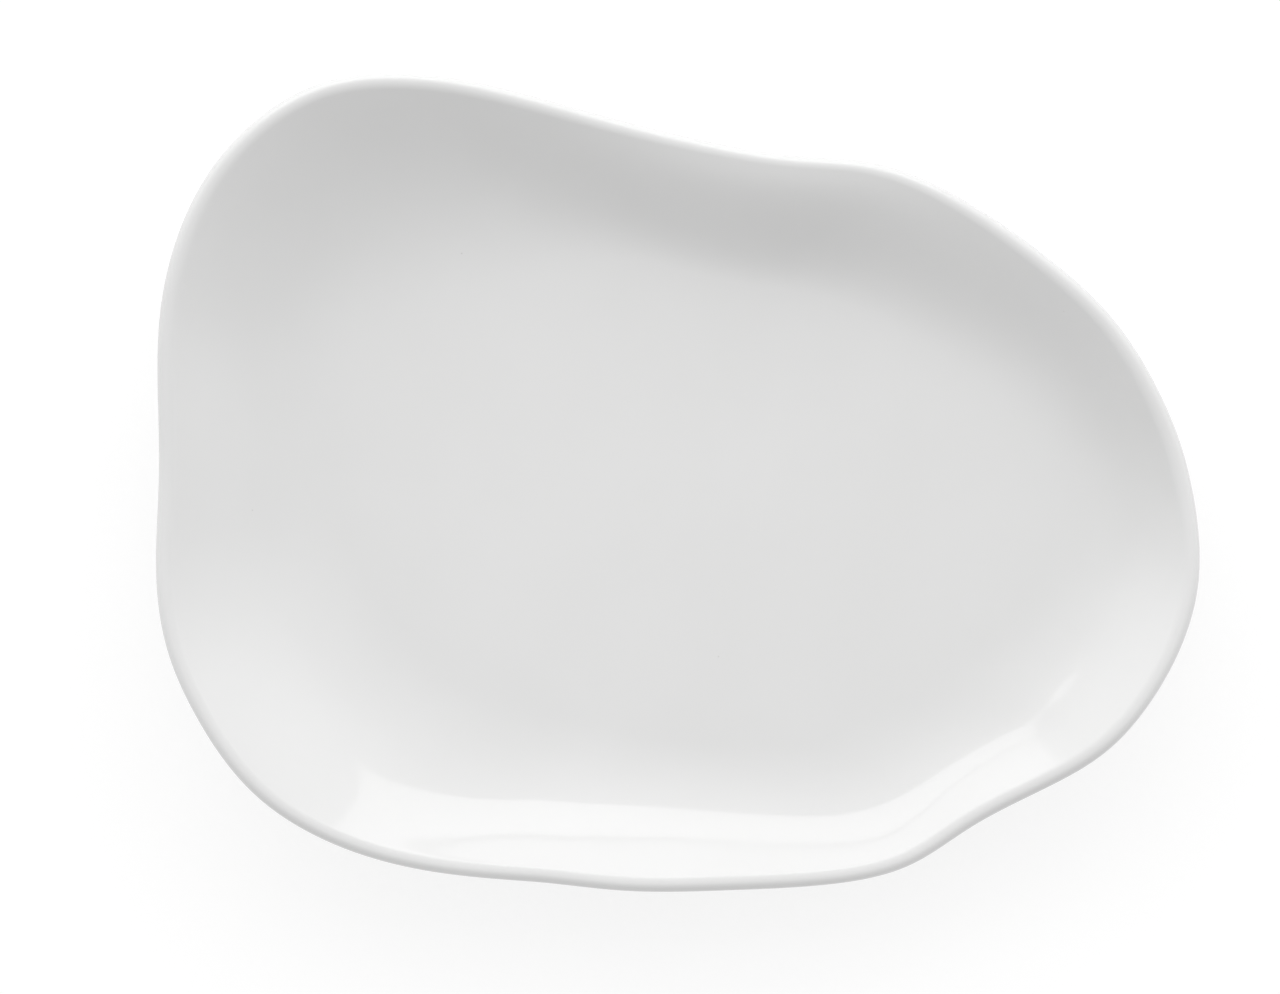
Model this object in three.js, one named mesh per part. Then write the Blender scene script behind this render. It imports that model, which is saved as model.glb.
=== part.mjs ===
// A free-form porcelain saucer: a shallow dish with a pebble outline, a rounded lip and a foot ring.
// Millimetres, +Z up, X along the length. The origin lies on the table under the middle of the outline.

import * as THREE from 'three';

// Overall size
const LENGTH = 168.6; // across the lip along X
const WIDTH = 132.1; // across the lip along Y

// Wall
const FLOOR_THICKNESS = 3.8; // glaze to glaze
const LIP_THICKNESS = 2.8; // glaze to glaze, and the diameter of the rounded lip
const GLAZE = 0.3; // thickness of each coat

// Flat floor
const FLOOR_SHIFT_X = -0.5; // floor's middle from the outline's middle
const FLOOR_SHIFT_Y = -5.3;

// Foot ring, an ellipse turned a little
const FOOT_LONG = 98; // length over the ring's outer side, where it joins the body
const FOOT_SHORT = 62; // width there
const FOOT_TURN_DEG = -9; // turn about +Z
const FOOT_HEIGHT = 3.2; // underside of the back coat above the table
const FOOT_ROOT = 5.5; // ring's width where it joins the body
const FOOT_LAND = 2.8; // width of the flat that it stands on
const FOOT_ROUND = 0.5; // rounding along both edges of that flat

// Wall section: where its handles lie, as parts of the run from the floor's edge to the lip
const FLOOR_HANDLES = [0.14, 0.41]; // level with the floor
const LIP_HANDLES = [0.2, 0.4]; // back from the lip along its lean

// Outline, counter-clockwise from the right end: x and y of the lip's outer edge, the wall's lean there in
// degrees from level, the wall's run from the edge towards the floor's middle, and the lip's height above the
// floor. The whole outline is stretched to the length and width above.
const OUTLINE = [
  [84.3, -11.5, 44, 25.5, 9.4], [82.5, 2, 47, 24.5, 9], [78.1, 14.1, 47, 25, 9.2],
  [70.3, 26.6, 43.5, 25.2, 9.6], [58.7, 37.3, 37, 25, 10], [45.1, 46.4, 27.5, 25, 10.6],
  [31.6, 51.7, 19, 24, 11.2], [18, 53, 17, 22, 11.3], [3, 55.6, 22, 21.5, 11.1],
  [-13, 59.6, 31.5, 24, 11.2], [-29.5, 64, 37.5, 31.5, 12.4], [-44.5, 66, 38.5, 39, 14.5],
  [-60, 63.3, 38.5, 42.5, 15.9], [-74.5, 51.3, 40.5, 40.5, 15.9], [-82.2, 34, 42, 35, 15.1],
  [-83.8, 18, 41.5, 30.5, 14.1], [-83.6, 2.5, 40.5, 29, 13.3], [-84.1, -12, 38, 31.5, 13.2],
  [-82.7, -25, 35.5, 35, 13.6], [-77.5, -37.5, 35, 36.5, 14], [-67, -51, 32.5, 36, 13.7],
  [-50.5, -59.9, 33, 35, 11.6], [-34, -63.3, 33.5, 30.5, 9.9], [-21, -64.4, 34, 27.5, 9.6],
  [-7.5, -65.7, 34, 25.5, 9.7], [8.5, -65.6, 34, 24.5, 8.8], [24.5, -64.7, 34, 25, 7.9],
  [37.5, -61.6, 34.5, 25, 8], [48, -55.1, 38, 25.5, 7.9], [60, -48.8, 41, 27, 9.3],
  [70.1, -42.3, 41, 28.5, 11], [77.8, -32.8, 41, 28, 10.8], [82.6, -22.6, 41, 27, 10],
];

// Facets
const AROUND = 72; // points round each loop
const WALL_STEPS = 7; // bands up the wall
const LIP_STEPS = 6; // bands over the lip
const ROUND_STEPS = 3; // bands round each edge of the foot's land
const FIT_SAMPLES = 4000; // points that measure the outline before it is stretched
const RELAX_PASSES = 48; // passes that draw the outline through its points
const NUDGE = 1e-4; // step of the slopes taken by differences

// Values that follow from the sizes
const LIP_RADIUS = LIP_THICKNESS / 2;
const FLOOR_TOP = FOOT_HEIGHT + FLOOR_THICKNESS;
const FLOOR_MIDDLE = new THREE.Vector2(FLOOR_SHIFT_X, FLOOR_SHIFT_Y);
const FOOT_TURN = THREE.MathUtils.degToRad(FOOT_TURN_DEG);

// Outline: a smooth closed curve, a cubic B-spline that runs through every point of the list

function guidePoints(points) {
  const count = points.length;
  let guides = points.map((point) => [...point]);
  for (let pass = 0; pass < RELAX_PASSES; pass += 1) {
    const last = guides;
    guides = points.map((point, i) => {
      const before = last[(i + count - 1) % count];
      const after = last[(i + 1) % count];
      return point.map((value, k) => (6 * value - before[k] - after[k]) / 4);
    });
  }
  return guides;
}

const GUIDES = guidePoints(OUTLINE);

function mixGuides(first, weights) {
  const count = GUIDES.length;
  const total = GUIDES[0].map(() => 0);
  weights.forEach((weight, j) => {
    const guide = GUIDES[(first + j + count) % count];
    guide.forEach((value, k) => {
      total[k] += weight * value;
    });
  });
  return total;
}

function drawnOutline(u) {
  const place = (u - Math.floor(u)) * GUIDES.length;
  const cell = Math.floor(place);
  const t = place - cell;
  const s = 1 - t;
  const spot = [s ** 3, 3 * t ** 3 - 6 * t ** 2 + 4, 3 * s ** 3 - 6 * s ** 2 + 4, t ** 3];
  const pace = [-(s ** 2), 3 * t ** 2 - 4 * t, 4 * s - 3 * s ** 2, t ** 2];
  const [x, y, lean, wallRun, height] = mixGuides(cell - 1, spot.map((weight) => weight / 6));
  const [dx, dy, , , dHeight] = mixGuides(cell - 1, pace.map((weight) => weight / 2));
  return { x, y, lean, wallRun, height, dx, dy, dHeight };
}

function measureOutline() {
  const box = new THREE.Box2();
  for (let i = 0; i < FIT_SAMPLES; i += 1) {
    const { x, y } = drawnOutline(i / FIT_SAMPLES);
    box.expandByPoint(new THREE.Vector2(x, y));
  }
  return box;
}

const DRAWN_BOX = measureOutline();
const DRAWN_MIDDLE = DRAWN_BOX.getCenter(new THREE.Vector2());
const STRETCH = new THREE.Vector2(LENGTH, WIDTH).divide(DRAWN_BOX.getSize(new THREE.Vector2()));

// Floor: its edge lies the wall's run inside the outline. The foot's ellipse, drawn in by an inset, has its
// points towards the same points of the outline.

function edgePoint(drawn) {
  return new THREE.Vector2(drawn.x, drawn.y).sub(DRAWN_MIDDLE).multiply(STRETCH);
}

function floorPoint(edge, wallRun) {
  const point = edge.clone().sub(FLOOR_MIDDLE).setLength(wallRun).negate().add(edge);
  return new THREE.Vector3(point.x, point.y, FLOOR_TOP);
}

function footPoint(edge, inset, height) {
  const ray = edge.clone().sub(FLOOR_MIDDLE);
  const turned = ray.clone().rotateAround(new THREE.Vector2(), -FOOT_TURN);
  const reach = Math.hypot(turned.x / (FOOT_LONG / 2 - inset), turned.y / (FOOT_SHORT / 2 - inset));
  const point = ray.divideScalar(reach).add(FLOOR_MIDDLE);
  return new THREE.Vector3(point.x, point.y, height);
}

// Rib: everything that one place on the outline fixes. The lip is a tube whose centre line runs inside
// the outline, and the wall leaves it along its lean.

function rib(u) {
  const drawn = drawnOutline(u);
  const edge = edgePoint(drawn);
  const along = new THREE.Vector2(drawn.dx, drawn.dy).multiply(STRETCH);
  const climb = drawn.dHeight / along.length();
  along.normalize();
  const out = new THREE.Vector3(along.y, -along.x, 0);
  const run = new THREE.Vector3(along.x, along.y, climb).normalize();
  const rise = out.clone().cross(run);
  const lean = THREE.MathUtils.degToRad(drawn.lean);
  const lipMiddle = FLOOR_TOP + drawn.height - LIP_RADIUS;
  const middle = new THREE.Vector3(edge.x, edge.y, lipMiddle).addScaledVector(out, -LIP_RADIUS);
  const facing = rise.clone().multiplyScalar(Math.cos(lean)).addScaledVector(out, -Math.sin(lean));
  const top = middle.clone().addScaledVector(facing, LIP_RADIUS);
  const start = floorPoint(edge, drawn.wallRun);
  return { edge, out, rise, lean, middle, facing, top, start };
}

// Face: the wall's section is a curve with six handles, level at the floor and leaning at the lip

function facePoint(u, v) {
  const { facing, top, start } = rib(u);
  const across = new THREE.Vector3(top.x - start.x, top.y - start.y, 0);
  const slope = -across.dot(facing) / facing.z;
  const shares = [0, ...FLOOR_HANDLES, ...LIP_HANDLES.map((share) => 1 - share).reverse(), 1];
  const heights = shares.map((share, k) => (k < 3 ? start.z : top.z - slope * (1 - share)));
  const w = 1 - v;
  const weights = [w ** 5, 5 * v * w ** 4, 10 * v ** 2 * w ** 3, 10 * v ** 3 * w ** 2, 5 * v ** 4 * w, v ** 5];
  const share = weights.reduce((sum, weight, k) => sum + weight * shares[k], 0);
  const height = weights.reduce((sum, weight, k) => sum + weight * heights[k], 0);
  return new THREE.Vector3(start.x, start.y, height).addScaledVector(across, share);
}

function faceNormal(u, v) {
  const outward = facePoint(u, v + NUDGE).sub(facePoint(u, v - NUDGE));
  const around = facePoint(u + NUDGE, v).sub(facePoint(u - NUDGE, v));
  return outward.cross(around).normalize();
}

// Skins: the face, the lip and the back, each at a depth under the outer surface

function faceSkin(u, v, depth) {
  return facePoint(u, v).addScaledVector(faceNormal(u, v), -depth);
}

function lipSkin(u, turn, depth) {
  const { out, rise, lean, middle } = rib(u);
  const angle = Math.PI / 2 + lean - turn * Math.PI;
  const radius = LIP_RADIUS - depth;
  const point = middle.clone().addScaledVector(out, radius * Math.cos(angle));
  return point.addScaledVector(rise, radius * Math.sin(angle));
}

function backSkin(u, v, depth) {
  const blend = THREE.MathUtils.smoothstep(v, 0, 1);
  const thickness = THREE.MathUtils.lerp(FLOOR_THICKNESS, LIP_THICKNESS, blend);
  return faceSkin(u, v, thickness - depth);
}

// Loops: closed rings of points round the dish

function loopOf(place) {
  return Array.from({ length: AROUND }, (_, i) => place(i / AROUND));
}

function faceLoops(depth) {
  const steps = Array.from({ length: WALL_STEPS }, (_, k) => k / WALL_STEPS);
  return steps.map((v) => loopOf((u) => faceSkin(u, v, depth)));
}

function lipLoops(depth) {
  const steps = Array.from({ length: LIP_STEPS + 1 }, (_, k) => k / LIP_STEPS);
  return steps.map((turn) => loopOf((u) => lipSkin(u, turn, depth)));
}

function backLoops(depth) {
  const steps = Array.from({ length: WALL_STEPS }, (_, k) => 1 - (k + 1) / WALL_STEPS);
  return steps.map((v) => loopOf((u) => backSkin(u, v, depth)));
}

function footLoop(inset, height) {
  return loopOf((u) => footPoint(rib(u).edge, inset, height));
}

function poleAt(height) {
  return new THREE.Vector3(FLOOR_MIDDLE.x, FLOOR_MIDDLE.y, height);
}

// Solids: loops joined into one closed skin. Poles close both ends, or the last loop meets the first.
// Each four-sided patch is cut along its shorter diagonal, so two solids that share it meet face to face.

function solid(loops, poles) {
  const points = loops.flat();
  const faces = [];
  const at = (k, i) => (k % loops.length) * AROUND + (i % AROUND);
  const bands = poles ? loops.length - 1 : loops.length;
  for (let k = 0; k < bands; k += 1) {
    for (let i = 0; i < AROUND; i += 1) {
      const [a, b, c, d] = [at(k, i), at(k + 1, i), at(k + 1, i + 1), at(k, i + 1)];
      const straight = points[a].distanceToSquared(points[c]) < points[b].distanceToSquared(points[d]);
      faces.push(...(straight ? [a, b, c, a, c, d] : [a, b, d, b, c, d]));
    }
  }
  if (poles) {
    const first = points.push(poles[0]) - 1;
    const last = points.push(poles[1]) - 1;
    for (let i = 0; i < AROUND; i += 1) {
      faces.push(first, at(0, i), at(0, i + 1));
      faces.push(at(loops.length - 1, i), last, at(loops.length - 1, i + 1));
    }
  }
  const geometry = new THREE.BufferGeometry().setFromPoints(points);
  geometry.setIndex(faces);
  geometry.computeVertexNormals();
  return geometry;
}

// Shared faces: the lip's end under the rim, and the two lines where the foot ring meets the underside

const BISCUIT_BASE = FOOT_HEIGHT + GLAZE;

function lipEnd(depth) {
  return loopOf((u) => lipSkin(u, 1, depth));
}

// Porcelain body: floor, wall and lip under the coats

function bodyGeometry() {
  const roots = [footLoop(0, BISCUIT_BASE), footLoop(FOOT_ROOT, BISCUIT_BASE)];
  const loops = [...faceLoops(GLAZE), ...lipLoops(GLAZE), ...backLoops(GLAZE), ...roots];
  return solid(loops, [poleAt(FLOOR_TOP - GLAZE), poleAt(BISCUIT_BASE)]);
}

// Face coat: over the floor, the wall and the lip, ending on the lip's underside

function faceCoatGeometry() {
  const outer = [...faceLoops(0), ...lipLoops(0)];
  const inner = [...faceLoops(GLAZE), ...lipLoops(GLAZE)].reverse();
  return solid([...outer, ...inner], [poleAt(FLOOR_TOP), poleAt(FLOOR_TOP - GLAZE)]);
}

// Back coat: from the lip's underside down the outside to the foot ring

function backCoatGeometry() {
  const outer = [lipEnd(0), ...backLoops(0), footLoop(0, FOOT_HEIGHT)];
  const inner = [lipEnd(GLAZE), ...backLoops(GLAZE), footLoop(0, BISCUIT_BASE)].reverse();
  return solid([...outer, ...inner], null);
}

// Base coat: the underside inside the foot ring

function baseCoatGeometry() {
  const loops = [footLoop(FOOT_ROOT, BISCUIT_BASE), footLoop(FOOT_ROOT, FOOT_HEIGHT)];
  return solid(loops, [poleAt(BISCUIT_BASE), poleAt(FOOT_HEIGHT)]);
}

// Foot ring: tapered sides, rounded edges and a flat land

function footGeometry() {
  const corner = (FOOT_ROOT - FOOT_LAND) / 2 - FOOT_ROUND;
  const side = new THREE.Vector2(-corner, FOOT_HEIGHT).setLength(FOOT_ROUND);
  const sharp = new THREE.Vector2(corner, 0);
  const start = sharp.clone().add(side);
  const finish = new THREE.Vector2(corner + FOOT_ROUND, 0);
  const edge = new THREE.QuadraticBezierCurve(start, sharp, finish).getPoints(ROUND_STEPS);
  const half = [new THREE.Vector2(0, BISCUIT_BASE), new THREE.Vector2(0, FOOT_HEIGHT), ...edge];
  const mirrored = half.map((point) => new THREE.Vector2(FOOT_ROOT - point.x, point.y)).reverse();
  const section = [...half, ...mirrored];
  return solid(section.map((point) => footLoop(point.x, point.y)), null);
}

// Materials and assembly

function glazed() {
  return new THREE.MeshStandardMaterial({ color: 0xf6f6f5, roughness: 0.08, metalness: 0 });
}

function bare(color, roughness) {
  return new THREE.MeshStandardMaterial({ color, roughness, metalness: 0 });
}

function piece(name, geometry, material) {
  const mesh = new THREE.Mesh(geometry, material);
  mesh.name = name;
  return mesh;
}

const coats = new THREE.Group();
coats.name = 'coats';
coats.add(piece('face_glaze', faceCoatGeometry(), glazed()));
coats.add(piece('back_glaze', backCoatGeometry(), glazed()));
coats.add(piece('base_glaze', baseCoatGeometry(), glazed()));

const saucer = new THREE.Group();
saucer.name = 'saucer';
saucer.add(piece('porcelain_body', bodyGeometry(), bare(0xf2f1ee, 0.6)));
saucer.add(piece('foot_ring', footGeometry(), bare(0xe9e6df, 0.85)));
saucer.add(coats);

export default saucer;
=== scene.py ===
"""A free-form white porcelain saucer, dressed in smooth glaze over its solid model.

Every piece is a surface of two parameters worked out with numpy: u runs round the dish and v runs
along its section, from the middle of the floor over the wall and the lip to the underside.
"""

import logging
import math
from dataclasses import dataclass, field
from enum import Enum

import bpy
import numpy as np
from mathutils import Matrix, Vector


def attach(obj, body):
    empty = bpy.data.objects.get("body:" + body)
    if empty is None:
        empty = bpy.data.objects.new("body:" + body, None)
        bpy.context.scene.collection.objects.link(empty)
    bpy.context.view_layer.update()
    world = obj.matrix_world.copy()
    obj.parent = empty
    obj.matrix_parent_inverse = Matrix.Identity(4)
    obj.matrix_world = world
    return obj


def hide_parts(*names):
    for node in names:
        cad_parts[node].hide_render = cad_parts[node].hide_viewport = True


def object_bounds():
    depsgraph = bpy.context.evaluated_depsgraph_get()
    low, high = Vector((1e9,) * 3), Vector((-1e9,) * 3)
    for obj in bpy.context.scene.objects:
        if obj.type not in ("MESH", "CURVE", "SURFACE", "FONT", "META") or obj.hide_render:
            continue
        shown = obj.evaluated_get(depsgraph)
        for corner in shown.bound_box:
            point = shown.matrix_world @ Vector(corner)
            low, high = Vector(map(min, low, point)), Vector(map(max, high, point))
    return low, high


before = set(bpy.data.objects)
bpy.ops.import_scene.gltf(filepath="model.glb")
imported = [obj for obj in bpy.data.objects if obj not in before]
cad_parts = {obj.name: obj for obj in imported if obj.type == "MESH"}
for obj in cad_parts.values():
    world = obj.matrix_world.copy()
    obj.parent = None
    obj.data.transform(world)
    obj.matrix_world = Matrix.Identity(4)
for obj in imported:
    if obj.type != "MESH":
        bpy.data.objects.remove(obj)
CAD_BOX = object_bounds()

LOG = logging.getLogger("saucer")
MM = 0.001  # metres in a millimetre
IMAGE_WIDTH = 1280  # pixels
IMAGE_HEIGHT = 994
NUDGE = 1e-4  # step of u and v for slopes taken by differences
SHARP_ANGLE = math.radians(35)  # faces that meet more steeply keep a sharp edge
NOISE_RANGE = (0.3, 0.7)  # where nearly all of a noise pattern's values lie
UNIT_RANGE = (0.0, 1.0)

Colour = tuple[float, float, float]


class Depth(Enum):
    """How deep a skin lies: on the outer surface, or on the clay under the glaze."""

    SURFACE = 0.0
    CLAY = 1.0


class Coat(Enum):
    """The three glaze coats, by the node that each stands for."""

    FACE = "face_glaze"
    BACK = "back_glaze"
    BASE = "base_glaze"


@dataclass(frozen=True)
class Rim:
    """The outline at each place, one row each.

    It holds the edge's points and the directions along it, the wall's leans and runs, and the lip's
    heights and how fast they climb along the edge.
    """

    edge: np.ndarray
    along: np.ndarray
    lean: np.ndarray
    run: np.ndarray
    height: np.ndarray
    climb: np.ndarray


@dataclass(frozen=True)
class Outline:
    """The lip's outer edge in plan, in millimetres.

    A closed cubic B-spline runs through listed points, and is then stretched to the length and the
    width. Each point is x, y, the wall's lean in degrees, the wall's run from the edge towards the
    floor's middle, and the lip's height above the floor.
    """

    length: float = (CAD_BOX[1][0] - CAD_BOX[0][0]) / MM
    width: float = (CAD_BOX[1][1] - CAD_BOX[0][1]) / MM
    points: tuple[tuple[float, float, float, float, float], ...] = (
        (84.3, -11.5, 44, 25.5, 9.4), (82.5, 2, 47, 24.5, 9), (78.1, 14.1, 47, 25, 9.2),
        (70.3, 26.6, 43.5, 25.2, 9.6), (58.7, 37.3, 37, 25, 10), (45.1, 46.4, 27.5, 25, 10.6),
        (31.6, 51.7, 19, 24, 11.2), (18, 53, 17, 22, 11.3), (3, 55.6, 22, 21.5, 11.1),
        (-13, 59.6, 31.5, 24, 11.2), (-29.5, 64, 37.5, 31.5, 12.4), (-44.5, 66, 38.5, 39, 14.5),
        (-60, 63.3, 38.5, 42.5, 15.9), (-74.5, 51.3, 40.5, 40.5, 15.9), (-82.2, 34, 42, 35, 15.1),
        (-83.8, 18, 41.5, 30.5, 14.1), (-83.6, 2.5, 40.5, 29, 13.3), (-84.1, -12, 38, 31.5, 13.2),
        (-82.7, -25, 35.5, 35, 13.6), (-77.5, -37.5, 35, 36.5, 14), (-67, -51, 32.5, 36, 13.7),
        (-50.5, -59.9, 33, 35, 11.6), (-34, -63.3, 33.5, 30.5, 9.9), (-21, -64.4, 34, 27.5, 9.6),
        (-7.5, -65.7, 34, 25.5, 9.7), (8.5, -65.6, 34, 24.5, 8.8), (24.5, -64.7, 34, 25, 7.9),
        (37.5, -61.6, 34.5, 25, 8), (48, -55.1, 38, 25.5, 7.9), (60, -48.8, 41, 27, 9.3),
        (70.1, -42.3, 41, 28.5, 11), (77.8, -32.8, 41, 28, 10.8), (82.6, -22.6, 41, 27, 10),
    )
    passes: int = 48
    samples: int = 4000

    def guides(self) -> np.ndarray:
        """Relaxes guide points until their spline runs through the listed points.

        On a uniform cubic B-spline a joint is (before + 4 * guide + after) / 6, so each pass sets
        guide = (6 * point - before - after) / 4.

        Returns:
            One row of x, y, lean, wall run and lip height for each guide point.
        """
        points = np.array(self.points, dtype=float)
        guides = points.copy()
        for _ in range(self.passes):
            guides = (6 * points - np.roll(guides, 1, axis=0) - np.roll(guides, -1, axis=0)) / 4
        return guides

    def drawn(self, u: np.ndarray) -> tuple[np.ndarray, np.ndarray]:
        """Evaluates the spline before it is stretched.

        The four nearest guides are mixed by the cubic B-spline weights, and by their derivatives.

        Args:
            u: Places round the outline, 0 to 1.

        Returns:
            The x, y, lean, wall run and lip height at each place, and how fast they change.
        """
        guides = self.guides()
        count = len(guides)
        place = np.mod(u, 1.0) * count
        cell = np.floor(place).astype(int)
        t = (place - cell)[:, None]
        s = 1 - t
        near = [guides[(cell + k) % count] for k in (-1, 0, 1, 2)]
        spot = (s**3, 3 * t**3 - 6 * t**2 + 4, 3 * s**3 - 6 * s**2 + 4, t**3)
        pace = (-(s**2), 3 * t**2 - 4 * t, 4 * s - 3 * s**2, t**2)
        value = sum(w * g for w, g in zip(spot, near)) / 6
        change = sum(w * g for w, g in zip(pace, near)) / 2
        return value, change

    def at(self, u: np.ndarray) -> Rim:
        """Gives the stretched outline.

        Args:
            u: Places round the outline, 0 to 1.

        Returns:
            The rim at each place.
        """
        whole, _ = self.drawn(np.arange(self.samples) / self.samples)
        low, high = whole[:, :2].min(axis=0), whole[:, :2].max(axis=0)
        stretch = np.array([self.length, self.width]) / (high - low)
        value, change = self.drawn(u)
        edge = (value[:, :2] - (low + high) / 2) * stretch
        along = change[:, :2] * stretch
        pace = np.linalg.norm(along, axis=1)
        return Rim(
            edge=edge,
            along=along / pace[:, None],
            lean=np.radians(value[:, 2]),
            run=value[:, 3],
            height=value[:, 4],
            climb=change[:, 4] / pace,
        )


@dataclass(frozen=True)
class Ribs:
    """What each place round the outline fixes, one row each, in millimetres.

    It holds the ways out and up, the wall's lean and its normal at the lip, the middles of the crown
    and the edge, the edge's radius, and the wall's two ends.
    """

    out: np.ndarray
    rise: np.ndarray
    lean: np.ndarray
    facing: np.ndarray
    crown: np.ndarray
    edge: np.ndarray
    edge_radius: np.ndarray
    top: np.ndarray
    start: np.ndarray


@dataclass(frozen=True)
class DishForm:
    """The dish's shape and sizes in millimetres, shared by every piece."""

    outline: Outline = field(default_factory=Outline)
    floor_thickness: float = 3.8
    lip_thickness: float = 2.8
    lip_crown: float = 2.2
    glaze: float = 0.3
    floor_middle: tuple[float, float] = (-0.5, -5.3)
    foot_height: float = 3.2
    foot_length: float = 98.0
    foot_width: float = 62.0
    foot_turn_deg: float = -9.0
    foot_root: float = 5.5
    foot_land: float = 2.8
    foot_round: float = 0.5
    floor_handles: tuple[float, float] = (0.14, 0.41)
    lip_handles: tuple[float, float] = (0.2, 0.4)
    around: int = 360

    @property
    def places(self) -> np.ndarray:
        """Even places round the outline, 0 to 1."""
        return np.arange(self.around) / self.around

    @property
    def floor_top(self) -> float:
        """Height of the glazed floor above the table."""
        return self.foot_height + self.floor_thickness

    @property
    def clay_base(self) -> float:
        """Height of the clay's underside above the table."""
        return self.foot_height + self.glaze

    def depth(self, skin: Depth) -> float:
        """Millimetres that a skin lies under the outer surface."""
        return skin.value * self.glaze

    def foot_loop(self, inset: float, height: float) -> np.ndarray:
        """The foot's ellipse drawn in by an inset, at a height.

        Each point lies from the floor's middle towards a point of the outline.

        Args:
            inset: How far the ellipse is drawn in.
            height: Height above the table.

        Returns:
            One point for each place.
        """
        ray = self.outline.at(self.places).edge - np.array(self.floor_middle)
        turn = math.radians(self.foot_turn_deg)
        along = ray @ np.array([math.cos(turn), math.sin(turn)]) / (self.foot_length / 2 - inset)
        across = ray @ np.array([-math.sin(turn), math.cos(turn)]) / (self.foot_width / 2 - inset)
        plan = ray / np.hypot(along, across)[:, None] + np.array(self.floor_middle)
        return np.column_stack([plan, np.full(len(plan), height)])

    def ribs(self, u: np.ndarray) -> Ribs:
        """Works out the lip's roll and the wall's two ends at each place.

        The lip is a roll of two arcs inside the outline, whose top follows the lip's height. The crown
        is its wide arc on the face, and the edge is its tight arc on the outside. They meet at the
        top, and crown * (1 - cos lean) + edge * (1 + cos lean) is the lip's thickness. The wall leaves
        the crown where its normal leans in by the lean. It starts at the floor, the wall's run inside
        the outline on the way to the floor's middle.

        Args:
            u: Places round the outline, 0 to 1.

        Returns:
            The ribs.
        """
        rim = self.outline.at(u)
        cosine = np.cos(rim.lean)
        edge_radius = (self.lip_thickness - self.lip_crown * (1 - cosine)) / (1 + cosine)
        out = np.column_stack([rim.along[:, 1], -rim.along[:, 0], np.zeros(len(u))])
        run = np.column_stack([rim.along, rim.climb]) / np.hypot(1, rim.climb)[:, None]
        rise = np.cross(out, run)
        level = np.column_stack([rim.edge, self.floor_top + rim.height - edge_radius])
        edge = level - edge_radius[:, None] * out
        crown = edge + (edge_radius - self.lip_crown)[:, None] * rise
        facing = cosine[:, None] * rise - np.sin(rim.lean)[:, None] * out
        top = crown + self.lip_crown * facing
        ray = rim.edge - np.array(self.floor_middle)
        plan = rim.edge - rim.run[:, None] * ray / np.linalg.norm(ray, axis=1, keepdims=True)
        start = np.column_stack([plan, np.full(len(u), self.floor_top)])
        return Ribs(out, rise, rim.lean, facing, crown, edge, edge_radius, top, start)

    def face_surface(self, u: np.ndarray, v: np.ndarray) -> np.ndarray:
        """The wall's glazed face, a quintic Bezier section at each place.

        Three control points lie level at the floor and three lie on the lip's lean, so the section
        leaves the floor with no bend and meets the lip along its own slope.

        Args:
            u: Places round the outline, 0 to 1.
            v: Steps up the wall, 0 at the floor and 1 at the lip.

        Returns:
            A grid of points, one loop for each step.
        """
        rib = self.ribs(u)
        across = rib.top - rib.start
        across[:, 2] = 0.0
        slope = -np.sum(across * rib.facing, axis=1) / rib.facing[:, 2]
        near = [0.0, *self.floor_handles]
        far = [1 - share for share in reversed((0.0, *self.lip_handles))]
        w = 1 - v
        weights = (w**5, 5 * v * w**4, 10 * v**2 * w**3, 10 * v**3 * w**2, 5 * v**4 * w, v**5)
        share = sum(b * s for b, s in zip(weights, near + far))
        low = sum(weights[:3])[:, None] * rib.start[:, 2]
        high = sum(b[:, None] * (rib.top[:, 2] - slope * (1 - s)) for b, s in zip(weights[3:], far))
        grid = rib.start + share[:, None, None] * across
        grid[..., 2] = low + high
        return grid

    def face_skin(self, u: np.ndarray, v: np.ndarray, depth: np.ndarray) -> np.ndarray:
        """The face moved in along its own normal.

        The normal is the cross product of the slopes outward and round, taken by differences.

        Args:
            u: Places round the outline, 0 to 1.
            v: Steps up the wall, 0 at the floor and 1 at the lip.
            depth: How far in, for each step.

        Returns:
            A grid of points, one loop for each step.
        """
        outward = self.face_surface(u, v + NUDGE) - self.face_surface(u, v - NUDGE)
        around = self.face_surface(u + NUDGE, v) - self.face_surface(u - NUDGE, v)
        normal = np.cross(outward, around)
        normal /= np.linalg.norm(normal, axis=2, keepdims=True)
        return self.face_surface(u, v) - depth[:, None, None] * normal

    def wall_loops(self, steps: int, skin: Depth) -> np.ndarray:
        """Loops of the face from the floor's edge up to just under the lip.

        Args:
            steps: Number of loops.
            skin: Which skin.

        Returns:
            A grid of points, one loop for each step.
        """
        v = np.arange(steps) / steps
        return self.face_skin(self.places, v, np.full(steps, self.depth(skin)))

    def lip_loops(self, steps: int, skin: Depth) -> np.ndarray:
        """Loops over the lip, half a turn along its two arcs from the face to the back.

        Args:
            steps: Number of bands over the lip.
            skin: Which skin.

        Returns:
            A grid of points, one loop more than the bands.
        """
        rib = self.ribs(self.places)
        turn = np.linspace(0, math.pi, steps + 1)[:, None]
        angle = math.pi / 2 + rib.lean - turn
        inner = angle > math.pi / 2
        middle = np.where(inner[..., None], rib.crown, rib.edge)
        radius = np.where(inner, self.lip_crown, rib.edge_radius) - self.depth(skin)
        return middle + radius[..., None] * (
            np.cos(angle)[..., None] * rib.out + np.sin(angle)[..., None] * rib.rise
        )

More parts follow.
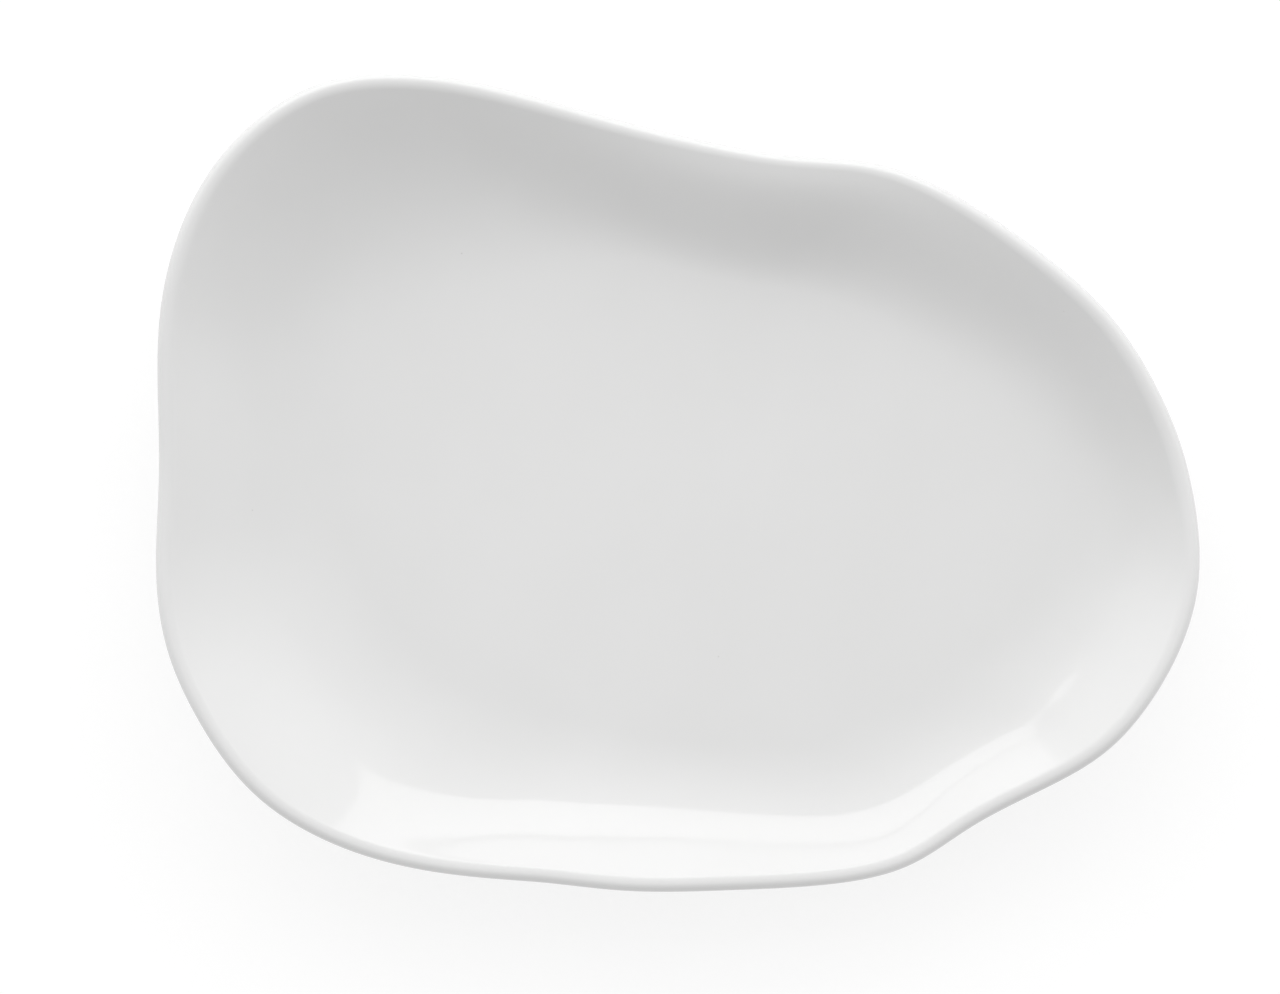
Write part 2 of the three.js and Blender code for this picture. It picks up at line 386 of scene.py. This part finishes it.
    def back_loops(self, steps: int, skin: Depth) -> np.ndarray:
        """Loops of the back, from just under the lip down to below the floor's edge.

        The back is the face moved in by the wall's thickness, which eases from the lip's to the
        floor's.

        Args:
            steps: Number of loops.
            skin: Which skin.

        Returns:
            A grid of points, one loop for each step.
        """
        v = 1 - (np.arange(steps) + 1) / steps
        ease = v * v * (3 - 2 * v)
        thick = self.floor_thickness + (self.lip_thickness - self.floor_thickness) * ease
        return self.face_skin(self.places, v, thick - self.depth(skin))

    def flat_loops(self, insets: np.ndarray, heights: np.ndarray) -> np.ndarray:
        """Loops of the foot's ellipse at given insets and heights.

        Args:
            insets: How far the ellipse is drawn in.
            heights: Heights above the table.

        Returns:
            A grid of points, one loop for each inset.
        """
        return np.stack([self.foot_loop(i, h) for i, h in zip(insets, heights)])

    def pole(self, height: float) -> np.ndarray:
        """The point over the floor's middle at a height."""
        return np.array([*self.floor_middle, height])


@dataclass(frozen=True)
class Section:
    """A closed section carried round the dish: its loops, and the poles that close its two ends."""

    loops: np.ndarray
    poles: tuple[np.ndarray, np.ndarray] | None = None

    def mesh(self, name: str) -> bpy.types.Mesh:
        """Joins the loops into one closed mesh in metres, facing out.

        Neighbouring loops are joined by four-sided faces. Poles close both ends with fans, and
        without poles the last loop meets the first.

        Args:
            name: The mesh's name.

        Returns:
            The mesh.
        """
        count, around, _ = self.loops.shape
        index = np.arange(count * around).reshape(count, around)
        rows = index if self.poles else np.vstack([index, index[:1]])
        ahead = np.roll(rows, -1, axis=1)
        quads = np.stack([rows[:-1], rows[1:], ahead[1:], ahead[:-1]], axis=-1).reshape(-1, 4)
        points = self.loops.reshape(-1, 3)
        faces = quads.tolist()
        if self.poles:
            first, last = len(points), len(points) + 1
            points = np.vstack([points, *self.poles])
            start, end = index[0], index[-1]
            fan = np.column_stack([np.full(around, first), start, np.roll(start, -1)])
            cap = np.column_stack([end, np.full(around, last), np.roll(end, -1)])
            faces += fan.tolist() + cap.tolist()
        mesh = bpy.data.meshes.new(name)
        mesh.from_pydata((points * MM).tolist(), [], faces)
        mesh.polygons.foreach_set("use_smooth", np.ones(len(faces), dtype=bool))
        mesh.set_sharp_from_angle(angle=SHARP_ANGLE)
        mesh.update()
        return mesh


class NodeSheet:
    """A material's node tree with short ways to add and join its nodes."""

    def __init__(self, name: str) -> None:
        """Makes a material with an empty tree.

        Args:
            name: The material's name.
        """
        self.material = bpy.data.materials.new(name)
        self.material.use_nodes = True
        self.tree = self.material.node_tree
        self.tree.nodes.clear()

    def add(self, kind: str, **values: object) -> bpy.types.Node:
        """Adds a node and sets its properties.

        Args:
            kind: The node's type.
            values: Properties of the node.

        Returns:
            The node.
        """
        node = self.tree.nodes.new(kind)
        for name, value in values.items():
            setattr(node, name, value)
        return node

    def join(self, source: bpy.types.NodeSocket, target: bpy.types.NodeSocket) -> None:
        """Links an output to an input."""
        self.tree.links.new(source, target)

    def noise(self, place: bpy.types.NodeSocket, scale: float, detail: float) -> bpy.types.NodeSocket:
        """Adds a noise pattern.

        Args:
            place: The coordinates that it reads.
            scale: Waves per metre.
            detail: Octaves of finer noise.

        Returns:
            The pattern's value.
        """
        node = self.add("ShaderNodeTexNoise")
        node.inputs["Scale"].default_value = scale
        node.inputs["Detail"].default_value = detail
        self.join(place, node.inputs["Vector"])
        return node.outputs["Fac"]

    def remap(
        self,
        value: bpy.types.NodeSocket,
        before: tuple[float, float],
        after: tuple[float, float],
        kind: str = "LINEAR",
    ) -> bpy.types.NodeSocket:
        """Maps one range of values on to another.

        Args:
            value: The value.
            before: The range that it comes from.
            after: The range that it goes to.
            kind: How it runs between the two ends.

        Returns:
            The mapped value.
        """
        node = self.add("ShaderNodeMapRange", interpolation_type=kind)
        names = ("From Min", "From Max", "To Min", "To Max")
        for name, number in zip(names, (*before, *after)):
            node.inputs[name].default_value = number
        self.join(value, node.inputs["Value"])
        return node.outputs["Result"]

    def blend(self, factor: bpy.types.NodeSocket, first: Colour, second: Colour) -> bpy.types.NodeSocket:
        """Mixes two colours by a pattern.

        Args:
            factor: 0 gives the first colour and 1 the second.
            first: A colour.
            second: A colour.

        Returns:
            The mixed colour.
        """
        node = self.add("ShaderNodeMix", data_type="RGBA")
        node.inputs["A"].default_value = (*first, 1.0)
        node.inputs["B"].default_value = (*second, 1.0)
        self.join(factor, node.inputs["Factor"])
        return node.outputs["Result"]

    def bump(self, height: bpy.types.NodeSocket, distance: float) -> bpy.types.NodeSocket:
        """Adds a bump at full strength.

        Args:
            height: The pattern that raises the surface.
            distance: Metres that the pattern's whole range raises it.

        Returns:
            The bumped normal.
        """
        node = self.add("ShaderNodeBump")
        node.inputs["Strength"].default_value = 1.0
        node.inputs["Distance"].default_value = distance
        self.join(height, node.inputs["Height"])
        return node.outputs["Normal"]

    def show(self, shader: bpy.types.NodeSocket) -> None:
        """Joins a shader to the material's surface."""
        output = self.add("ShaderNodeOutputMaterial")
        self.join(shader, output.inputs["Surface"])


@dataclass(frozen=True)
class GlazeFinish:
    """Clear gloss glaze over white porcelain: faint cloudiness, a soft ripple and rare pinholes."""

    name: str = "clear_gloss_glaze"
    white: Colour = (0.80, 0.80, 0.798)
    cloud: Colour = (0.785, 0.785, 0.782)
    pinhole: Colour = (0.6, 0.595, 0.585)
    gloss: tuple[float, float] = (0.05, 0.09)
    cloud_scale: float = 45.0
    cloud_detail: float = 3.0
    gloss_detail: float = 2.0
    ripple_scale: float = 160.0
    ripple_detail: float = 1.0
    ripple_height: float = 0.000012
    pinhole_spacing: float = 55.0
    pinhole_size: float = 0.012
    refraction: float = 1.6

    def material(self) -> bpy.types.Material:
        """Builds the glaze on object coordinates.

        Returns:
            The material.
        """
        sheet = NodeSheet(self.name)
        place = sheet.add("ShaderNodeTexCoord").outputs["Object"]
        shader = sheet.add("ShaderNodeBsdfPrincipled")
        shader.inputs["IOR"].default_value = self.refraction
        clouds = sheet.noise(place, self.cloud_scale, self.cloud_detail)
        colour = sheet.blend(sheet.remap(clouds, NOISE_RANGE, UNIT_RANGE), self.white, self.cloud)
        cells = sheet.add("ShaderNodeTexVoronoi")
        cells.inputs["Scale"].default_value = self.pinhole_spacing
        sheet.join(place, cells.inputs["Vector"])
        hole = sheet.remap(cells.outputs["Distance"], (self.pinhole_size, 0.0), UNIT_RANGE, "SMOOTHSTEP")
        specked = sheet.add("ShaderNodeMix", data_type="RGBA")
        specked.inputs["B"].default_value = (*self.pinhole, 1.0)
        sheet.join(hole, specked.inputs["Factor"])
        sheet.join(colour, specked.inputs["A"])
        sheet.join(specked.outputs["Result"], shader.inputs["Base Color"])
        patches = sheet.noise(place, self.cloud_scale, self.gloss_detail)
        sheet.join(sheet.remap(patches, NOISE_RANGE, self.gloss), shader.inputs["Roughness"])
        ripple = sheet.noise(place, self.ripple_scale, self.ripple_detail)
        sheet.join(sheet.bump(ripple, self.ripple_height), shader.inputs["Normal"])
        sheet.show(shader.outputs["BSDF"])
        return sheet.material


@dataclass(frozen=True)
class ClayFinish:
    """Bare fired porcelain: matt, fine-grained and a little warmer than the glaze."""

    name: str
    light: Colour
    dark: Colour
    rough: tuple[float, float] = (0.7, 0.9)
    cloud_scale: float = 120.0
    cloud_detail: float = 4.0
    grain_scale: float = 2600.0
    grain_detail: float = 2.0
    grain_height: float = 0.00003

    def material(self) -> bpy.types.Material:
        """Builds the clay on object coordinates.

        Returns:
            The material.
        """
        sheet = NodeSheet(self.name)
        place = sheet.add("ShaderNodeTexCoord").outputs["Object"]
        shader = sheet.add("ShaderNodeBsdfPrincipled")
        grain = sheet.noise(place, self.grain_scale, self.grain_detail)
        clouds = sheet.noise(place, self.cloud_scale, self.cloud_detail)
        colour = sheet.blend(sheet.remap(clouds, NOISE_RANGE, UNIT_RANGE), self.light, self.dark)
        sheet.join(colour, shader.inputs["Base Color"])
        sheet.join(sheet.remap(grain, NOISE_RANGE, self.rough), shader.inputs["Roughness"])
        sheet.join(sheet.bump(grain, self.grain_height), shader.inputs["Normal"])
        sheet.show(shader.outputs["BSDF"])
        return sheet.material


BODY_CLAY = ClayFinish("white_clay", light=(0.82, 0.81, 0.79), dark=(0.78, 0.77, 0.75))
FOOT_CLAY = ClayFinish("bare_foot_clay", light=(0.74, 0.72, 0.68), dark=(0.64, 0.615, 0.575))


def place_piece(
    mesh: bpy.types.Mesh, material: bpy.types.Material, node: str
) -> bpy.types.Object:
    """Puts a finished mesh into the scene in place of its solid.

    Args:
        mesh: The mesh, in metres in the shared frame.
        material: Its finish.
        node: The solid that it stands for.

    Returns:
        The piece.
    """
    piece = bpy.data.objects.new(mesh.name, mesh)
    bpy.context.scene.collection.objects.link(piece)
    mesh.materials.append(material)
    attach(piece, "root")
    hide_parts(node)
    LOG.info("%s: %d faces for %s", piece.name, len(mesh.polygons), node)
    return piece


@dataclass
class PorcelainBody:
    """The fired clay under the coats: floor, wall and lip."""

    form: DishForm
    finish: ClayFinish
    wall_steps: int = 24
    lip_steps: int = 18

    def section(self) -> Section:
        """The clay's closed section, from the top of the floor round to its underside.

        Returns:
            The section.
        """
        form = self.form
        roots = form.flat_loops(np.array([0.0, form.foot_root]), np.full(2, form.clay_base))
        loops = np.concatenate([
            form.wall_loops(self.wall_steps, Depth.CLAY),
            form.lip_loops(self.lip_steps, Depth.CLAY),
            form.back_loops(self.wall_steps, Depth.CLAY),
            roots,
        ])
        return Section(loops, (form.pole(form.floor_top - form.glaze), form.pole(form.clay_base)))

    def build(self) -> bpy.types.Object:
        """Builds and dresses the body."""
        mesh = self.section().mesh("saucer_clay_body")
        return place_piece(mesh, self.finish.material(), "porcelain_body")


@dataclass
class GlazeCoats:
    """The three coats of glaze, each a thin closed skin on the clay."""

    form: DishForm
    finish: GlazeFinish
    floor_steps: int = 10
    wall_steps: int = 56
    lip_steps: int = 60
    under_wall_steps: int = 24
    under_lip_steps: int = 18

    def face_section(self) -> Section:
        """Over the floor, the wall and the lip, and back along the clay to the middle.

        The floor is straight lines from its middle to the foot of the wall.

        Returns:
            The section.
        """
        form = self.form
        shares = np.arange(1, self.floor_steps) / self.floor_steps
        wall = form.wall_loops(self.wall_steps, Depth.SURFACE)
        floor = form.pole(form.floor_top) + shares[:, None, None] * (wall[0] - form.pole(form.floor_top))
        under = np.concatenate([
            form.wall_loops(self.under_wall_steps, Depth.CLAY),
            form.lip_loops(self.under_lip_steps, Depth.CLAY),
        ])
        loops = np.concatenate([floor, wall, form.lip_loops(self.lip_steps, Depth.SURFACE), under[::-1]])
        return Section(loops, (form.pole(form.floor_top), form.pole(form.floor_top - form.glaze)))

    def back_section(self) -> Section:
        """From the lip's underside down the outside to the foot ring, and back along the clay.

        Returns:
            The section.
        """
        form = self.form
        inset = np.zeros(1)
        outer = np.concatenate([
            form.lip_loops(1, Depth.SURFACE)[-1:],
            form.back_loops(self.wall_steps, Depth.SURFACE),
            form.flat_loops(inset, np.array([form.foot_height])),
        ])
        inner = np.concatenate([
            form.lip_loops(1, Depth.CLAY)[-1:],
            form.back_loops(self.under_wall_steps, Depth.CLAY),
            form.flat_loops(inset, np.array([form.clay_base])),
        ])
        return Section(np.concatenate([outer, inner[::-1]]))

    def base_section(self) -> Section:
        """The flat coat inside the foot ring.

        Returns:
            The section.
        """
        form = self.form
        inset = np.full(2, form.foot_root)
        loops = form.flat_loops(inset, np.array([form.clay_base, form.foot_height]))
        return Section(loops, (form.pole(form.clay_base), form.pole(form.foot_height)))

    def build(self) -> list[bpy.types.Object]:
        """Builds and dresses the coats.

        Returns:
            The three pieces.
        """
        material = self.finish.material()
        sections = {
            Coat.FACE: self.face_section(),
            Coat.BACK: self.back_section(),
            Coat.BASE: self.base_section(),
        }
        return [
            place_piece(section.mesh(f"saucer_{coat.value}"), material, coat.value)
            for coat, section in sections.items()
        ]


@dataclass
class FootRing:
    """The bare ring that the saucer stands on, with tapered sides and rounded edges."""

    form: DishForm
    finish: ClayFinish
    side_steps: int = 6
    round_steps: int = 8

    def half_profile(self) -> np.ndarray:
        """Inset and height down the ring's outer side, round its edge and on to the land.

        The edge is a quadratic Bezier between the side and the land.

        Returns:
            Rows of inset from the root's outer side, and height.
        """
        form = self.form
        corner = (form.foot_root - form.foot_land) / 2 - form.foot_round
        side = np.array([-corner, form.foot_height])
        sharp = np.array([corner, 0.0])
        start = sharp + form.foot_round * side / np.linalg.norm(side)
        finish = np.array([corner + form.foot_round, 0.0])
        t = np.linspace(0, 1, self.round_steps + 1)[:, None]
        edge = (1 - t) ** 2 * start + 2 * t * (1 - t) * sharp + t**2 * finish
        root = np.array([0.0, form.foot_height])
        down = root + np.linspace(0, 1, self.side_steps, endpoint=False)[:, None] * (start - root)
        return np.vstack([[0.0, form.clay_base], down, edge])

    def section(self) -> Section:
        """The ring's closed section, the half profile and its mirror image.

        Returns:
            The section.
        """
        form = self.form
        half = self.half_profile()
        other = np.column_stack([form.foot_root - half[:, 0], half[:, 1]])[::-1]
        profile = np.vstack([half, other])
        return Section(form.flat_loops(profile[:, 0], profile[:, 1]))

    def build(self) -> bpy.types.Object:
        """Builds and dresses the ring."""
        mesh = self.section().mesh("saucer_foot_ring")
        return place_piece(mesh, self.finish.material(), "foot_ring")


@dataclass(frozen=True)
class Lamp:
    """A soft rectangular light, placed by its turn from the far side and its lift.

    It faces the dish, or stands upright. A narrow spread makes it fade towards its edges.
    """

    name: str
    turn_deg: float
    lift_deg: float
    distance: float
    size: tuple[float, float]
    radiance: float
    spread_deg: float = 180.0
    upright: bool = False
    mirrored: bool = True

    def build(self, aim_height: float) -> bpy.types.Object:
        """Hangs the light. Its power is its radiance times pi times its area.

        Args:
            aim_height: Height of the point it faces, over the frame's origin.

        Returns:
            The light.
        """
        data = bpy.data.lights.new(self.name, "AREA")
        data.shape = "RECTANGLE"
        data.size, data.size_y = self.size
        data.spread = math.radians(self.spread_deg)
        data.energy = self.radiance * math.pi * data.size * data.size_y
        lamp = bpy.data.objects.new(self.name, data)
        bpy.context.scene.collection.objects.link(lamp)
        turn, lift = math.radians(self.turn_deg), math.radians(self.lift_deg)
        ray = np.array([math.sin(turn) * math.cos(lift), math.cos(turn) * math.cos(lift), math.sin(lift)])
        lamp.location = ray * self.distance + np.array([0.0, 0.0, aim_height])
        lean = 0.0 if self.upright else lift
        lamp.rotation_euler = (math.pi / 2 - lean, 0.0, math.pi - turn)
        lamp.visible_camera = False
        lamp.visible_glossy = self.mirrored
        return lamp


@dataclass
class Studio:
    """A pale floor, soft light from the far side, and a camera straight above."""

    pixels_per_mm: float = 6.22
    dish_pixel: tuple[float, float] = (678.8, 483.4)
    camera_distance: float = 1.2
    lip_height: float = 0.022
    sensor_width: float = 36.0
    view_limit: float = 20.0
    floor_size: float = 8.0
    floor_drop: float = 0.00005
    floor_white: float = 0.9
    floor_shade: float = 0.3
    floor_glow: float = 0.75
    sky: float = 0.624
    lamps: tuple[Lamp, ...] = (
        Lamp(
            "upper_softbox", turn_deg=-4.0, lift_deg=36.6, distance=1.2, size=(1.6, 0.309),
            radiance=0.655, spread_deg=120.0,
        ),
        Lamp(
            "lower_softbox", turn_deg=-4.0, lift_deg=19.1, distance=1.2, size=(1.6, 0.384),
            radiance=0.5, spread_deg=120.0,
        ),
        Lamp(
            "far_panel", turn_deg=0.0, lift_deg=40.0, distance=1.6, size=(3.0, 1.5),
            radiance=0.615, mirrored=False,
        ),
        Lamp(
            "right_panel", turn_deg=52.0, lift_deg=32.0, distance=1.3, size=(2.6, 1.36),
            radiance=0.21, spread_deg=100.0, upright=True,
        ),
        Lamp(
            "left_panel", turn_deg=-52.0, lift_deg=32.0, distance=1.3, size=(2.6, 1.36),
            radiance=0.2, spread_deg=100.0, upright=True,
        ),
    )

    def camera(self) -> None:
        """Sets a long lens straight above the dish, framed as 1280 by 994 pixels."""
        data = bpy.data.cameras.new("overhead_camera")
        data.sensor_fit = "HORIZONTAL"
        data.sensor_width = self.sensor_width
        data.lens = self.sensor_width * self.camera_distance / (IMAGE_WIDTH / self.pixels_per_mm * MM)
        data.clip_end = self.view_limit
        shot = bpy.data.objects.new("overhead_camera", data)
        bpy.context.scene.collection.objects.link(shot)
        x = (IMAGE_WIDTH / 2 - self.dish_pixel[0]) / self.pixels_per_mm * MM
        y = (self.dish_pixel[1] - IMAGE_HEIGHT / 2) / self.pixels_per_mm * MM
        shot.location = (x, y, self.lip_height + self.camera_distance)
        bpy.context.scene.camera = shot

    def seen(self, tree: bpy.types.NodeTree) -> bpy.types.NodeSocket:
        """Tells rays that show the background from rays that only carry light.

        Args:
            tree: The node tree to add to.

        Returns:
            1 for camera, glossy and transmission rays, and 0 for the others.
        """
        path = tree.nodes.new("ShaderNodeLightPath")
        total = path.outputs["Is Camera Ray"]
        for name in ("Is Glossy Ray", "Is Transmission Ray"):
            add = tree.nodes.new("ShaderNodeMath")
            add.operation = "MAXIMUM"
            tree.links.new(total, add.inputs[0])
            tree.links.new(path.outputs[name], add.inputs[1])
            total = add.outputs[0]
        return total

    def world(self) -> None:
        """Lights the dish evenly from all round, and shows a white background."""
        world = bpy.data.worlds.new("white_room")
        world.use_nodes = True
        tree = world.node_tree
        tree.nodes.clear()
        light = tree.nodes.new("ShaderNodeBackground")
        light.inputs["Strength"].default_value = self.sky
        white = tree.nodes.new("ShaderNodeBackground")
        for node in (light, white):
            node.inputs["Color"].default_value = (1.0, 1.0, 1.0, 1.0)
        mix = tree.nodes.new("ShaderNodeMixShader")
        tree.links.new(self.seen(tree), mix.inputs[0])
        tree.links.new(light.outputs[0], mix.inputs[1])
        tree.links.new(white.outputs[0], mix.inputs[2])
        output = tree.nodes.new("ShaderNodeOutputWorld")
        tree.links.new(mix.outputs[0], output.inputs["Surface"])
        bpy.context.scene.world = world

    def floor(self) -> None:
        """Lays a pale floor that shows white and keeps a faint shadow.

        Rays that show the background see a glow and the shade on a darker diffuse, and rays that only
        carry light see a plain white diffuse.
        """
        half = self.floor_size / 2
        corners = np.array([[-half, -half], [half, -half], [half, half], [-half, half]])
        mesh = bpy.data.meshes.new("studio_floor")
        level = np.full(len(corners), -self.floor_drop)
        mesh.from_pydata(np.column_stack([corners, level]).tolist(), [], [(0, 1, 2, 3)])
        floor = bpy.data.objects.new("studio_floor", mesh)
        bpy.context.scene.collection.objects.link(floor)
        sheet = NodeSheet("pale_floor")
        plain = sheet.add("ShaderNodeBsdfDiffuse")
        plain.inputs["Color"].default_value = (*[self.floor_white] * 3, 1.0)
        shade = sheet.add("ShaderNodeBsdfDiffuse")
        shade.inputs["Color"].default_value = (*[self.floor_shade] * 3, 1.0)
        glow = sheet.add("ShaderNodeEmission")
        glow.inputs["Strength"].default_value = self.floor_glow
        both = sheet.add("ShaderNodeAddShader")
        sheet.join(shade.outputs[0], both.inputs[0])
        sheet.join(glow.outputs[0], both.inputs[1])
        mix = sheet.add("ShaderNodeMixShader")
        sheet.join(self.seen(sheet.tree), mix.inputs[0])
        sheet.join(plain.outputs[0], mix.inputs[1])
        sheet.join(both.outputs[0], mix.inputs[2])
        sheet.show(mix.outputs[0])
        mesh.materials.append(sheet.material)

    def build(self) -> None:
        """Sets up the whole studio."""
        bpy.context.scene.view_settings.view_transform = "Standard"
        self.camera()
        for lamp in self.lamps:
            lamp.build(self.lip_height)
        self.world()
        self.floor()


def main() -> None:
    """Builds the saucer's pieces and the studio in order."""
    logging.basicConfig(level=logging.INFO, format="%(name)s: %(message)s")
    form = DishForm()
    PorcelainBody(form, BODY_CLAY).build()
    GlazeCoats(form, GlazeFinish()).build()
    FootRing(form, FOOT_CLAY).build()
    Studio().build()


if __name__ == "__main__":
    main()
